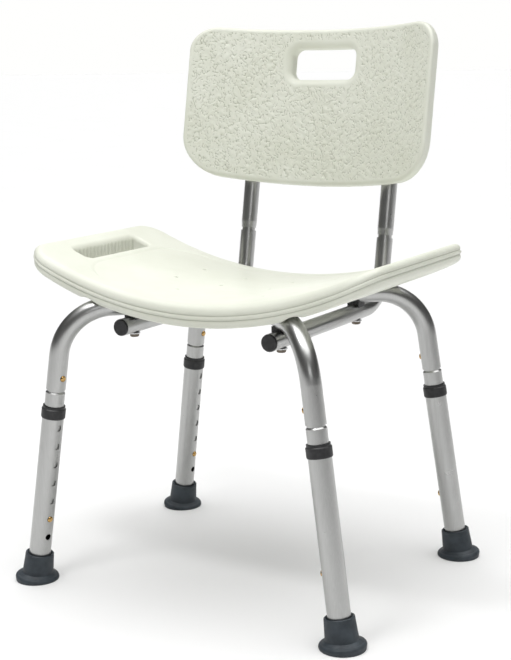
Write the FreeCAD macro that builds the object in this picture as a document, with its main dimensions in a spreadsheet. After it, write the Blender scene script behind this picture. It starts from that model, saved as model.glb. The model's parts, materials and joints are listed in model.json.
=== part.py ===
import FreeCAD, Part
import math
import os

import Sketcher
from FreeCAD import Placement, Rotation, Vector

# A shower chair: a blow-moulded seat and backrest on an aluminium tube frame with four
# telescopic legs. Millimetres, +Z up, floor at Z = 0, the front of the chair towards -Y.
# Left and right are as seen from in front of the chair: left is -X.
# The origin is on the floor, in the middle of the chair's outer box.

doc = FreeCAD.newDocument("ShowerChair")

SIZES = (
    # Where the legs stand, and how far they lean for each millimetre of height.
    ("foot_half_width", 231.0),
    ("foot_half_depth", 175.0),
    ("lean_inward", 0.147),
    ("lean_lengthwise", 0.036),
    ("legs_forward", 21.0),
    # Telescopic legs. Heights are measured along the leg from the floor.
    ("outer_tube_od", 28.6),
    ("outer_tube_id", 26.0),
    ("outer_tube_start", 10.0),
    ("outer_tube_end", 241.5),
    ("inner_tube_od", 25.4),
    ("inner_tube_id", 22.8),
    ("inner_tube_start", 72.0),
    ("seam_height", 267.0),
    ("neck_gap", 4.2),
    ("neck_od", 22.2),
    ("neck_id", 19.6),
    ("neck_end", 302.0),
    ("height_button_up", 90.0),
    ("release_button_up", 284.2),
    ("hole_pitch", 25.4),
    ("hole_count", 7),
    ("button_dia", 8.0),
    ("button_hole_dia", 8.4),
    ("button_proud", 2.4),
    ("button_crown", 1.9),
    ("button_depth", 8.5),
    # How far each leg's buttons are turned from straight inwards towards the front.
    ("turn_front_left", 13.0),
    ("turn_rear_left", 3.0),
    ("turn_front_right", 6.0),
    ("turn_rear_right", 8.0),
    # Flat V springs that carry the snap buttons.
    ("spring_width", 7.0),
    ("spring_gauge", 0.8),
    ("spring_reach", 34.0),
    ("spring_tip", 7.0),
    ("spring_heel", 6.0),
    ("spring_clearance", 0.9),
    # Collars at the top of the outer leg tubes.
    ("collar_od", 31.6),
    ("collar_start", 228.5),
    ("collar_end", 245.0),
    ("collar_round", 1.2),
    ("collar_lip", 3.0),
    # Rubber feet.
    ("foot_top", 38.0),
    ("foot_top_dia", 37.5),
    ("foot_base_dia", 42.0),
    ("foot_bevel", 0.8),
    ("foot_mouth", 2.7),
    ("flange_dia", 58.0),
    ("flange_inset", 1.5),
    ("flange_rim", 3.5),
    ("flange_thickness", 7.5),
    ("flange_round", 4.0),
    ("flange_rise", 3.0),
    ("flange_skirt", 4.0),
    ("flange_tilt", 5.0),
    ("foot_washer_thickness", 2.0),
    ("foot_washer_hole", 10.0),
    # Two bent leg frames that cross under the seat.
    ("bow_height", 371.0),
    ("bow_bend", 70.0),
    ("crimp_height", 10.9),
    ("crimp_width", 33.6),
    ("crimp_gap", 0.2),
    ("crimp_half_length", 21.0),
    ("crimp_blend", 34.0),
    ("rivet_dia", 6.0),
    ("rivet_head_dia", 15.0),
    ("rivet_head", 1.7),
    # Two bent tubes that carry the back.
    ("support_od", 22.2),
    ("support_id", 19.6),
    ("support_half_spacing", 110.0),
    ("support_height", 346.0),
    ("support_front", -129.0),
    ("support_bend", 55.0),
    ("back_seam_height", 435.0),
    ("back_seam_depth", 189.0),
    ("recline", 10.9),
    # Uprights of the back.
    ("upright_neck_od", 19.0),
    ("upright_neck_id", 16.4),
    ("upright_neck_reach", 34.0),
    ("upright_taper", 9.0),
    ("upright_taper_od", 20.8),
    ("upright_end", 268.0),
    ("back_button_down", 17.0),
    ("back_button_dia", 7.0),
    ("back_button_hole_dia", 7.4),
    # End plugs of the back tubes.
    ("plug_cap_dia", 21.4),
    ("plug_cap", 3.0),
    ("plug_reach", 14.0),
    # Bevel on plugs, bolt heads and screw heads.
    ("edge_bevel", 1.0),
    # Fasteners between the crossing tubes and the seat.
    ("bolt_dia", 6.0),
    ("bolt_hole_dia", 6.6),
    ("bolt_head_dia", 12.0),
    ("bolt_head", 4.0),
    ("bolt_length", 58.0),
    ("washer_dia", 15.0),
    ("washer_thickness", 1.5),
    ("saddle_length", 18.0),
    ("saddle_width", 17.0),
    ("saddle_height", 9.0),
    ("insert_dia", 11.0),
    ("insert_length", 10.0),
    # Seat.
    ("seat_width", 511.0),
    ("seat_depth", 288.0),
    ("seat_back_shift", -2.0),
    ("seat_under_height", 358.0),
    ("seat_top_height", 387.0),
    ("seat_under_bend", 530.0),
    ("seat_top_bend", 555.0),
    ("seat_corner", 36.0),
    ("seat_top_round", 11.0),
    ("seat_under_round", 3.0),
    ("seat_wall", 3.0),
    ("channel_clearance", 0.5),
    ("handle_slot_length", 140.0),
    ("handle_slot_width", 27.0),
    ("handle_slot_middle", 214.0),
    ("handle_slot_back_shift", -4.5),
    ("handle_slot_corner", 8.0),
    ("boss_dia", 18.0),
    ("boss_length", 55.0),
    # Backrest, in the frame of the reclined uprights.
    ("back_width", 383.0),
    ("back_low", 67.0),
    ("back_low_corner", 78.0),
    ("back_high", 288.0),
    ("back_thickness", 24.5),
    ("back_bend", 345.0),
    ("back_forward", 17.5),
    ("back_high_round", 38.0),
    ("back_low_round", 50.0),
    ("back_front_round", 8.0),
    ("back_rear_round", 12.0),
    ("back_wall", 3.0),
    ("back_slot_width", 101.0),
    ("back_slot_height", 44.0),
    ("back_slot_middle", 239.0),
    ("back_slot_corner", 13.0),
    ("upright_groove_clearance", 0.2),
    ("back_screw_low", 120.0),
    ("back_screw_high", 232.0),
    ("back_screw_dia", 5.0),
    ("back_screw_head_dia", 10.0),
    ("back_screw_head", 2.6),
    ("back_screw_length", 30.0),
    ("back_insert_dia", 9.0),
    ("back_insert_length", 9.0),
)

sheet = doc.addObject("Spreadsheet::Sheet", "Sizes")
for row, (alias, number) in enumerate(SIZES, start=1):
    sheet.set("A%d" % row, str(number))
    sheet.setAlias("A%d" % row, alias)
doc.recompute()

NODES = []

LEGS = {
    "front_left": (-1, -1),
    "rear_left": (-1, 1),
    "front_right": (1, -1),
    "rear_right": (1, 1),
}
SIDES = {"left": -1, "right": 1}
CHAIR = Placement(Vector(0, -float(sheet.get("legs_forward")), 0), Rotation())

# Rough size of a fresh sketch outline, before its formulas give it the true size.
SKETCH_START = 10.0
# Distances below this count as touching when edges are picked.
TOUCH = 0.01
# Profile of a button's crown: share of its radius, and share of its height below the tip.
CROWN = ((1.0, 1.0), (0.86, 0.5), (0.6, 0.18), (0.3, 0.04))
# Profile of a foot's rim: share of its rounding inwards, and share of its height above the rim.
RIM = ((0.0, 0.0), (0.04, 0.3), (0.16, 0.58), (0.36, 0.8), (0.65, 0.94), (1.0, 1.0))


# ---------------------------------------------------------------- small helpers

def size(alias):
    """One driving dimension from the sheet, in millimetres or degrees."""
    return float(sheet.get(alias))


def bind(thing, prop, formula):
    """Tie a property to a formula; a word with an underscore is a cell of the sheet."""
    words = formula.replace("(", "( ").replace(")", " )").split()
    tied = ["Sizes." + word if "_" in word or word == "recline" else word for word in words]
    thing.setExpression(prop, " ".join(tied))


def keep(thing, node):
    """Give a finished sub-part its own name and list it for writing."""
    thing.Label = node
    NODES.append(thing)
    return thing


def new_body(name):
    return doc.addObject("PartDesign::Body", name)


def plane_of(body, role):
    """The body's own origin plane or axis with this role."""
    return [part for part in body.Origin.OriginFeatures if part.Role == role][0]


def new_sketch(body, role, name):
    sketch = body.newObject("Sketcher::SketchObject", name)
    sketch.AttachmentSupport = [(plane_of(body, role), "")]
    sketch.MapMode = "FlatFace"
    return sketch


def tie(sketch, formula, kind, *what):
    """Add a constraint that follows a formula; the last item of what is its first value."""
    index = sketch.addConstraint(Sketcher.Constraint(kind, *what))
    bind(sketch, "Constraints[%d]" % index, formula)


def pin(sketch, geometry, vertex, across, up, start=(1.0, 1.0)):
    """Fix a vertex of a sketch by two formulas, measured from the sketch's origin."""
    tie(sketch, across, "DistanceX", -1, 1, geometry, vertex, start[0])
    tie(sketch, up, "DistanceY", -1, 1, geometry, vertex, start[1])


def outline(sketch, corners):
    """A closed straight-sided outline; each corner is a pair of formulas."""
    count = len(corners)
    step = 2 * math.pi / count
    ring = [Vector(math.cos(step * i), math.sin(step * i), 0) * SKETCH_START for i in range(count)]
    for i in range(count):
        sketch.addGeometry(Part.LineSegment(ring[i], ring[(i + 1) % count]), False)
    for i in range(count):
        sketch.addConstraint(Sketcher.Constraint("Coincident", i, 2, (i + 1) % count, 1))
    for i, (across, up) in enumerate(corners):
        pin(sketch, i, 1, across, up)


def circles(sketch, diameters, across="0", up="0"):
    """Concentric circles with bound diameters."""
    for diameter in diameters:
        index = sketch.addGeometry(Part.Circle(Vector(), Vector(0, 0, 1), SKETCH_START / 2), False)
        pin(sketch, index, 3, across, up)
        tie(sketch, diameter, "Diameter", index, SKETCH_START)


def turned(name, corners):
    """A body of revolution about Z from a radius-height outline."""
    body = new_body(name)
    sketch = new_sketch(body, "XZ_Plane", name + "_outline")
    outline(sketch, corners)
    spin = body.newObject("PartDesign::Revolution", name + "_turn")
    spin.Profile = sketch
    spin.ReferenceAxis = (sketch, ["V_Axis"])
    spin.Angle = 360.0
    return body


def padded(name, role, corners, length):
    """A straight-sided outline padded evenly to both sides of its plane."""
    body = new_body(name)
    sketch = new_sketch(body, role, name + "_outline")
    outline(sketch, corners)
    pad = body.newObject("PartDesign::Pad", name + "_pad")
    pad.Profile = sketch
    pad.Midplane = True
    bind(pad, "Length", length)
    return body


def drill(body, name, role, across, up, diameter, both_sides=False):
    """A round hole square to one of the body's planes, through one wall or both."""
    doc.recompute()
    before = body.Shape.Volume
    sketch = new_sketch(body, role, name + "_circle")
    circles(sketch, [diameter], across, up)
    hole = body.newObject("PartDesign::Pocket", name)
    hole.Profile = sketch
    hole.Type = "ThroughAll"
    hole.Midplane = both_sides
    hole.Reversed = role == "YZ_Plane"
    doc.recompute()
    if body.Shape.Volume >= before:
        raise RuntimeError(name + " removed nothing")
    return hole


def soften(body, name, edges, radius):
    """Round the named edges of a body's last feature."""
    last = body.Tip
    fillet = body.newObject("PartDesign::Fillet", name)
    fillet.Base = (last, edges)
    bind(fillet, "Radius", radius)
    doc.recompute()
    return fillet


def edges_where(shape, test):
    """Names of the edges whose middle point passes a test."""
    names = []
    for index, edge in enumerate(shape.Edges, start=1):
        middle = edge.valueAt((edge.FirstParameter + edge.LastParameter) / 2)
        if test(middle):
            names.append("Edge%d" % index)
    return names


def rod(name, diameter, length, placement):
    """A solid cylinder along its placement's Z axis, starting at the origin."""
    cylinder = doc.addObject("Part::Cylinder", name)
    bind(cylinder, "Radius", "( " + diameter + " ) / 2")
    bind(cylinder, "Height", length)
    cylinder.Placement = placement
    return cylinder


def block(name, length, width, height, placement):
    """A box whose own corner is moved so that the placement's origin is its middle."""
    box = doc.addObject("Part::Box", name)
    bind(box, "Length", length)
    bind(box, "Width", width)
    bind(box, "Height", height)
    doc.recompute()
    corner = Vector(-box.Length.Value / 2, -box.Width.Value / 2, -box.Height.Value / 2)
    box.Placement = placement.multiply(Placement(corner, Rotation()))
    return box


def joined(name, parts):
    fusion = doc.addObject("Part::MultiFuse", name)
    fusion.Shapes = parts
    return fusion


def carved(name, base, tool):
    cut = doc.addObject("Part::Cut", name)
    cut.Base = base
    cut.Tool = tool
    return cut


def grouped(name, parts):
    """Identical loose pieces kept together as one group of separate solids."""
    group = doc.addObject("Part::Compound", name)
    group.Links = parts
    return group


def at(x, y, z, rotation=None):
    """A placement given in the frame of the legs, moved into the frame of the chair."""
    return CHAIR.multiply(Placement(Vector(x, y, z), rotation or Rotation()))


# ---------------------------------------------------------------- where things stand

def leg_axis(leg):
    """Point where the leg's axis meets the floor, and its direction upwards."""
    side, end = LEGS[leg]
    foot = Vector(side * size("foot_half_width"), end * size("foot_half_depth"), 0)
    rise = Vector(-side * size("lean_inward"), -end * size("lean_lengthwise"), 1)
    return foot, rise.normalize()


def leg_inward(leg):
    """Direction that a leg's buttons face: inwards, turned a little towards the front."""
    side, _ = LEGS[leg]
    _, rise = leg_axis(leg)
    straight = rise.cross(Vector(-side, 0, 0)).normalize().cross(rise)
    return Rotation(rise, side * size("turn_" + leg)).multVec(straight)


def leg_frame(leg, up=0.0):
    """Placement on the leg's axis: Z up the leg, X the way its buttons face."""
    foot, rise = leg_axis(leg)
    inward = leg_inward(leg)
    turn = Rotation(inward, rise.cross(inward), rise, "ZXY")
    spot = foot + rise * up
    return at(spot.x, spot.y, spot.z, turn)


def leg_corner(leg):
    """Point where the leg's axis meets the level run of its bow."""
    foot, rise = leg_axis(leg)
    return foot + rise * (size("bow_height") / rise.z)


def back_frame(side=0, up=0.0):
    """Placement on an upright's axis at the seam, reclined: Z up the upright."""
    turn = Rotation(Vector(1, 0, 0), -size("recline"))
    x = side * size("support_half_spacing")
    start = Vector(x, size("back_seam_depth"), size("back_seam_height"))
    spot = start + turn.multVec(Vector(0, 0, up))
    return at(spot.x, spot.y, spot.z, turn)


def bolt_point(side, end):
    """Middle of a crossing of a back support under a bow, at floor level."""
    corner = leg_corner("rear_right")
    x = size("support_half_spacing")
    return Vector(side * x, end * x * corner.y / corner.x, 0)


AIM_X = Rotation(Vector(0, 1, 0), 90)
AIM_REAR = Rotation(Vector(1, 0, 0), -90)
AIM_FRONT = Rotation(Vector(1, 0, 0), 90)


# ---------------------------------------------------------------- legs

def inner_leg(leg):
    """Inner leg tube with a swaged neck that plugs up into the bow."""
    body = turned("InnerLeg_" + leg, [
        ("inner_tube_id / 2", "inner_tube_start"),
        ("inner_tube_od / 2", "inner_tube_start"),
        ("inner_tube_od / 2", "seam_height - neck_gap"),
        ("neck_od / 2", "seam_height - neck_gap / 2"),
        ("neck_od / 2", "neck_end"),
        ("neck_id / 2", "neck_end"),
        ("neck_id / 2", "seam_height - neck_gap"),
        ("inner_tube_id / 2", "seam_height - 2 * neck_gap"),
    ])
    for hole, height in (("height", "height_button_up"), ("release", "release_button_up")):
        drill(body, "InnerHole_%s_%s" % (hole, leg), "YZ_Plane", "0", height, "button_hole_dia")
    body.Placement = leg_frame(leg)
    return keep(body, "leg_inner_" + leg)


def outer_leg(leg):
    """Outer leg tube with a row of adjustment holes on its inward side."""
    body = new_body("OuterLeg_" + leg)
    sketch = new_sketch(body, "XY_Plane", "OuterRing_" + leg)
    circles(sketch, ["outer_tube_od", "outer_tube_id"])
    bind(sketch, "AttachmentOffset.Base.z", "outer_tube_start")
    pad = body.newObject("PartDesign::Pad", "OuterPad_" + leg)
    pad.Profile = sketch
    bind(pad, "Length", "outer_tube_end - outer_tube_start")
    hole = drill(body, "OuterHole_" + leg, "YZ_Plane", "0", "height_button_up - hole_pitch",
                 "button_hole_dia")
    row = body.newObject("PartDesign::LinearPattern", "OuterRow_" + leg)
    row.Originals = [hole]
    row.Direction = (plane_of(body, "Z_Axis"), [""])
    bind(row, "Length", "hole_pitch * ( hole_count - 1 )")
    bind(row, "Occurrences", "hole_count")
    body.Tip = row
    body.Placement = leg_frame(leg)
    return keep(body, "leg_outer_" + leg)


def collar(leg):
    """Plastic collar on the top end of the outer tube, with a lip that guides the inner tube."""
    body = turned("Collar_" + leg, [
        ("outer_tube_od / 2", "collar_start"),
        ("collar_od / 2 - collar_round / 2", "collar_start"),
        ("collar_od / 2", "collar_start + collar_round"),
        ("collar_od / 2", "collar_end - collar_lip - collar_round"),
        ("collar_od / 2 - collar_round", "collar_end - collar_lip"),
        ("collar_od / 2 - collar_round", "collar_end"),
        ("outer_tube_id / 2", "collar_end"),
        ("outer_tube_id / 2", "outer_tube_end"),
        ("outer_tube_od / 2", "outer_tube_end"),
    ])
    body.Placement = leg_frame(leg)
    return keep(body, "leg_collar_" + leg)


def rubber_foot(leg):
    """Rubber tip: a conical socket in line with the leg, on a tilted flange with a flat sole."""
    socket = turned("FootSocket_" + leg, [
        ("0", "flange_thickness / 2"),
        ("foot_base_dia / 2", "flange_thickness / 2"),
        ("foot_top_dia / 2", "foot_top - foot_bevel"),
        ("foot_top_dia / 2 - foot_bevel", "foot_top"),
        ("outer_tube_od / 2 + foot_mouth", "foot_top"),
        ("outer_tube_od / 2", "foot_top - foot_mouth"),
        ("0", "foot_top - foot_mouth"),
    ])
    socket.Placement = leg_frame(leg)
    rim = [
        ("flange_dia / 2 - %g * flange_round" % inwards,
         "flange_rim + %g * ( flange_thickness - flange_rim )" % upwards)
        for inwards, upwards in RIM
    ]
    flange = turned("FootFlange_" + leg, [
        ("0", "0 - flange_skirt"),
        ("flange_dia / 2 - flange_inset", "0 - flange_skirt"),
    ] + rim + [
        ("foot_base_dia / 2 - foot_bevel", "flange_thickness + flange_rise"),
        ("0", "flange_thickness + flange_rise"),
    ])
    foot, rise = leg_axis(leg)
    hinge = Vector(0, 0, 1).cross(rise)
    flange.Placement = at(foot.x, foot.y, 0, Rotation(hinge, size("flange_tilt")))
    floor = block("FootFloor_" + leg, "flange_dia * 2", "flange_dia * 2", "flange_dia",
                  at(foot.x, foot.y, -size("flange_dia") / 2))
    bore_start = size("outer_tube_start") - size("foot_washer_thickness")
    bore = rod("FootBore_" + leg, "outer_tube_od", "foot_top", leg_frame(leg, bore_start))
    whole = joined("FootWhole_" + leg, [socket, flange])
    waste = joined("FootWaste_" + leg, [floor, bore])
    return keep(carved("Foot_" + leg, whole, waste), "foot_" + leg)


def foot_washer(leg):
    """Steel washer inside the foot, under the end of the outer tube."""
    body = turned("FootWasher_" + leg, [
        ("foot_washer_hole / 2", "outer_tube_start - foot_washer_thickness"),
        ("outer_tube_od / 2", "outer_tube_start - foot_washer_thickness"),
        ("outer_tube_od / 2", "outer_tube_start"),
        ("foot_washer_hole / 2", "outer_tube_start"),
    ])
    body.Placement = leg_frame(leg)
    return keep(body, "foot_washer_" + leg)


def snap_button(name, radius, tip, node, placement):
    """Domed button; its outline starts at the spring's arm and ends at the crown."""
    foot = [("0", tip + " - button_depth"), (radius, tip + " - button_depth")]
    dome = [
        (radius + " * %g" % share, tip + " - button_crown * %g" % drop)
        for share, drop in CROWN
    ]
    body = turned(name, foot + dome + [("0", tip)])
    body.Placement = placement
    return keep(body, node)


def v_spring(name, bore, tip, way, node, placement):
    """Flat strip bent to a V: one arm lies along the tube wall, the other carries the button."""
    wall = "spring_clearance - " + bore + " / 2"
    front = tip + " - button_depth"
    body = padded(name, "XZ_Plane", [
        (front, "0 - %d * spring_tip" % way),
        (front, "%d * spring_tip" % way),
        (wall + " + spring_heel", "%d * spring_reach" % way),
        (wall, "%d * spring_reach" % way),
        (wall, "0 - %d * spring_tip" % way),
        (wall + " + spring_gauge", "0 - %d * spring_tip" % way),
        (wall + " + spring_gauge", "%d * ( spring_reach - spring_gauge )" % way),
        (wall + " + spring_heel - spring_gauge", "%d * ( spring_reach - spring_gauge )" % way),
        (front + " - spring_gauge", "%d * spring_tip" % way),
        (front + " - spring_gauge", "0 - %d * spring_tip" % way),
    ], "spring_width")
    body.Placement = placement
    return keep(body, node)


def leg_buttons(leg):
    """The height button low on the inner tube and the release button in its neck."""
    kinds = (
        ("height", "height_button_up", "inner_tube_id", "outer_tube_od", 1),
        ("release", "release_button_up", "neck_id", "inner_tube_od", -1),
    )
    for kind, height, bore, outer, way in kinds:
        tip = outer + " / 2 + button_proud"
        spot = leg_frame(leg, size(height))
        aim = spot.multiply(Placement(Vector(), AIM_X))
        snap_button("Button_%s_%s" % (kind, leg), "button_dia / 2", tip,
                    "%s_button_%s" % (kind, leg), aim)
        v_spring("Spring_%s_%s" % (kind, leg), bore, tip, way,
                 "%s_spring_%s" % (kind, leg), spot)


# ---------------------------------------------------------------- bows

def ring_wire(centre, across, up, half_width, half_height):
    """Closed section: a circle when its halves are equal, or two flats and two half rounds."""
    def spot(a, b):
        return centre + across * a + up * b

    is_round = half_width == half_height
    corner_out = half_width / math.sqrt(2) if is_round else half_width - half_height
    corner_up = half_height / math.sqrt(2) if is_round else half_height
    edges = []
    for a, b in ((1, 1), (-1, -1)):
        start = spot(-a * corner_out, b * corner_up)
        middle = spot(a * corner_out, b * corner_up)
        end = spot(a * corner_out, -b * corner_up)
        if is_round:
            edges.append(Part.Arc(start, spot(0, b * half_height), middle).toShape())
        else:
            edges.append(Part.makeLine(start, middle))
        edges.append(Part.Arc(middle, spot(a * half_width, 0), end).toShape())
    return Part.Wire(edges)


def crimp(along, level, shrink):
    """Middle of a bow, pressed flat to half height so that the two bows nest."""
    up = Vector(0, 0, 1)
    across = up.cross(along)
    middle = Vector(0, 0, size("bow_height"))
    round_half = size("inner_tube_od") / 2 - shrink
    flat_height = size("crimp_height") / 2 - shrink
    flat_width = size("crimp_width") / 2 - shrink
    flat_end = size("crimp_half_length")
    blend_end = flat_end + size("crimp_blend")
    sink = up * (level * (size("crimp_height") + size("crimp_gap")) / 2)
    stations = (
        (-blend_end, Vector(), round_half, round_half),
        (-flat_end, sink, flat_width, flat_height),
        (flat_end, sink, flat_width, flat_height),
        (blend_end, Vector(), round_half, round_half),
    )
    wires = [
        ring_wire(middle + along * reach + drop, across, up, half_width, half_height)
        for reach, drop, half_width, half_height in stations
    ]
    return Part.makeLoft(wires, True, True)


def bow_arm(leg, diameter):
    """Half a bow: from the seam up the leg, round the bend and level to the crimp."""
    foot, rise = leg_axis(leg)
    corner = leg_corner(leg)
    middle = Vector(0, 0, corner.z)
    inward = (middle - corner).normalize()
    turn = rise.getAngle(inward)
    run_in = size("bow_bend") * math.tan(turn / 2)
    start = foot + rise * size("seam_height")
    before = corner - rise * run_in
    after = corner + inward * run_in
    depth = size("bow_bend") * (1 / math.cos(turn / 2) - 1)
    elbow = corner + (inward - rise).normalize() * depth
    stop = middle - inward * (size("crimp_half_length") + size("crimp_blend"))
    path = Part.Wire([
        Part.makeLine(start, before),
        Part.Arc(before, elbow, after).toShape(),
        Part.makeLine(after, stop),
    ])
    section = Part.Wire([Part.makeCircle(diameter / 2, start, rise)])
    return path.makePipeShell([section], True, True)


def bow(name, legs, level):
    """Bent tube that joins two legs across the chair."""
    wall = (size("inner_tube_od") - size("inner_tube_id")) / 2
    along = leg_corner(legs[1]) - leg_corner(legs[0])
    along.normalize()
    outer = crimp(along, level, 0.0)
    inner = crimp(along, level, wall)
    for leg in legs:
        outer = outer.fuse(bow_arm(leg, size("inner_tube_od")))
        inner = inner.fuse(bow_arm(leg, size("inner_tube_id")))
    tube = outer.cut(inner)
    down = Vector(0, 0, -1)
    for leg in legs:
        side, end = LEGS[leg]
        above = bolt_point(side, end) + Vector(0, 0, size("seat_top_height"))
        button, aim = leg_button_aim(leg)
        tube = drilled(tube, "bolt_hole_dia", size("bolt_length"), above, down)
        tube = drilled(tube, "button_hole_dia", size("inner_tube_od"), button, aim)
    high = Vector(0, 0, size("bow_height") + size("inner_tube_od"))
    tube = drilled(tube, "rivet_dia", 3 * size("inner_tube_od"), high, down)
    feature = doc.addObject("Part::Feature", name.title().replace("_", ""))
    feature.Shape = tube.removeSplitter()
    feature.Placement = CHAIR
    return keep(feature, name)


def drilled(tube, diameter, depth, start, aim):
    """The tube with one round hole cut along a direction."""
    return tube.cut(Part.makeCylinder(size(diameter) / 2, depth, start, aim))


def leg_button_aim(leg):
    """Where the release button sits on a leg's axis, and the way it points."""
    foot, rise = leg_axis(leg)
    return foot + rise * size("release_button_up"), leg_inward(leg)


def crossing_rivet():
    """Rivet that holds the two pressed bows together in the middle."""
    low = "bow_height - crimp_height - crimp_gap / 2"
    high = "bow_height + crimp_height + crimp_gap / 2"
    body = turned("CrossingRivet", [
        ("0", low + " - rivet_head"),
        ("rivet_head_dia / 2 - rivet_head", low + " - rivet_head"),
        ("rivet_head_dia / 2", low),
        ("rivet_dia / 2", low),
        ("rivet_dia / 2", high),
        ("rivet_head_dia / 2", high),
        ("rivet_head_dia / 2 - rivet_head", high + " + rivet_head"),
        ("0", high + " + rivet_head"),
    ])
    body.Placement = CHAIR
    return keep(body, "crossing_rivet")


# ---------------------------------------------------------------- back tubes

def back_support(side_name):
    """L-shaped tube: level under the seat, then bent up behind it to the seam."""
    side = SIDES[side_name]
    lean = math.radians(size("recline"))
    rise = size("back_seam_height") - size("support_height")
    corner = size("back_seam_depth") - rise * math.tan(lean) - size("support_front")
    run_in = size("support_bend") * math.tan((math.pi / 2 - lean) / 2)
    level = Vector(1, 0, 0)
    up = Vector(math.sin(lean), math.cos(lean), 0)
    before = level * (corner - run_in)
    after = level * corner + up * run_in
    depth = size("support_bend") * (1 / math.cos((math.pi / 2 - lean) / 2) - 1)
    elbow = level * corner + (up - level).normalize() * depth
    end = level * corner + up * (rise / math.cos(lean))

    body = new_body("BackSupport_" + side_name)
    path = new_sketch(body, "YZ_Plane", "SupportPath_" + side_name)
    path.addGeometry(Part.LineSegment(Vector(), before), False)
    path.addGeometry(Part.Arc(before, elbow, after), False)
    path.addGeometry(Part.LineSegment(after, end), False)
    path.addConstraint(Sketcher.Constraint("Coincident", 0, 1, -1, 1))
    path.addConstraint(Sketcher.Constraint("Tangent", 0, 2, 1, 1))
    path.addConstraint(Sketcher.Constraint("Tangent", 1, 2, 2, 1))
    path.addConstraint(Sketcher.Constraint("Horizontal", 0))
    tie(path, "support_bend", "Radius", 1, size("support_bend"))
    pin(path, 2, 2, "back_seam_depth - support_front", "back_seam_height - support_height", end)
    tie(path, "90 - recline", "Angle", -1, 1, 2, 1, math.pi / 2 - lean)

    ring = new_sketch(body, "XZ_Plane", "SupportRing_" + side_name)
    circles(ring, ["support_od", "support_id"])
    pipe = body.newObject("PartDesign::AdditivePipe", "SupportPipe_" + side_name)
    pipe.Profile = ring
    pipe.Spine = (path, ["Edge1", "Edge2", "Edge3"])
    for where, end_sign in (("front", -1), ("rear", 1)):
        spot = end_sign * bolt_point(1, 1).y - size("support_front")
        drill_down(body, "SupportBolt_%s_%s" % (where, side_name), spot)
    x = side * size("support_half_spacing")
    body.Placement = at(x, size("support_front"), size("support_height"))

    button = back_frame(side, -size("back_button_down")).multiply(Placement(Vector(), AIM_REAR))
    hole = rod("SupportHole_" + side_name, "back_button_hole_dia", "support_od", button)
    return keep(carved("BackSupportDrilled_" + side_name, body, hole), "back_support_" + side_name)


def drill_down(body, name, lengthwise):
    """A bolt hole straight down through both walls of a level tube."""
    doc.recompute()
    before = body.Shape.Volume
    sketch = new_sketch(body, "XY_Plane", name + "_circle")
    start = Vector(0, lengthwise, 0)
    index = sketch.addGeometry(Part.Circle(start, Vector(0, 0, 1), SKETCH_START / 2), False)
    sketch.addConstraint(Sketcher.Constraint("DistanceX", -1, 1, index, 3, start.x))
    sketch.addConstraint(Sketcher.Constraint("DistanceY", -1, 1, index, 3, start.y))
    tie(sketch, "bolt_hole_dia", "Diameter", index, SKETCH_START)
    hole = body.newObject("PartDesign::Pocket", name)
    hole.Profile = sketch
    hole.Type = "ThroughAll"
    hole.Midplane = True
    doc.recompute()
    if body.Shape.Volume >= before:
        raise RuntimeError(name + " removed nothing")


def back_upright(side_name):
    """Straight tube behind the backrest, with a neck that plugs down into the support."""
    side = SIDES[side_name]
    body = turned("Upright_" + side_name, [
        ("upright_neck_id / 2", "0 - upright_neck_reach"),
        ("upright_neck_od / 2", "0 - upright_neck_reach"),
        ("upright_neck_od / 2", "neck_gap"),
        ("upright_taper_od / 2", "neck_gap"),
        ("support_od / 2", "neck_gap + upright_taper"),
        ("support_od / 2", "upright_end"),
        ("support_id / 2", "upright_end"),
        ("support_id / 2", "neck_gap + upright_taper * 2"),
        ("upright_neck_id / 2", "neck_gap + upright_taper"),
    ])
    drill(body, "UprightHole_" + side_name, "XZ_Plane", "0", "0 - back_button_down",
          "back_button_hole_dia")
    for which in ("low", "high"):
        drill(body, "UprightScrew_%s_%s" % (which, side_name), "XZ_Plane", "0",
              "back_screw_" + which, "back_screw_dia", True)
    body.Placement = back_frame(side)
    return keep(body, "back_upright_" + side_name)


def end_plug(name, placement):
    """Plastic plug; its cap lies above the end of the tube and its stem below."""
    body = turned(name, [
        ("0", "0 - plug_reach"),
        ("support_id / 2 - edge_bevel", "0 - plug_reach"),
        ("support_id / 2", "edge_bevel - plug_reach"),
        ("support_id / 2", "0"),
        ("plug_cap_dia / 2", "0"),
        ("plug_cap_dia / 2", "plug_cap - edge_bevel"),
        ("plug_cap_dia / 2 - edge_bevel", "plug_cap"),
        ("0", "plug_cap"),
    ])
    body.Placement = placement
    return body


def end_plugs():
    """Plugs in the front ends of the supports and in the top ends of the uprights."""
    fronts = []
    tops = []
    for name, side in SIDES.items():
        x = side * size("support_half_spacing")
        fronts.append(end_plug("PlugFront_" + name,
                               at(x, size("support_front"), size("support_height"), AIM_FRONT)))
        tops.append(end_plug("PlugTop_" + name, back_frame(side, size("upright_end"))))
    keep(grouped("PlugsFront", fronts), "back_support_plugs")
    keep(grouped("PlugsTop", tops), "back_upright_plugs")


def back_buttons(side_name):
    """Rear-facing snap button and spring that lock an upright in its support."""
    side = SIDES[side_name]
    tip = "support_od / 2 + button_proud"
    spot = back_frame(side, -size("back_button_down"))
    snap_button("ButtonBack_" + side_name, "back_button_dia / 2", tip, "back_button_" + side_name,
                spot.multiply(Placement(Vector(), AIM_REAR)))
    rearward = spot.multiply(Placement(Vector(), Rotation(Vector(0, 0, 1), 90)))
    v_spring("SpringBack_" + side_name, "upright_neck_id", tip, 1, "back_spring_" + side_name, rearward)


# ---------------------------------------------------------------- fasteners

def stacked(name, node, corners, placements):
    """The same turned piece in several places, kept as one group."""
    pieces = []
    for index, placement in enumerate(placements, start=1):
        body = turned("%s_%d" % (name, index), corners)
        body.Placement = placement
        pieces.append(body)
    return keep(grouped(name + "_group", pieces), node)


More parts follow.
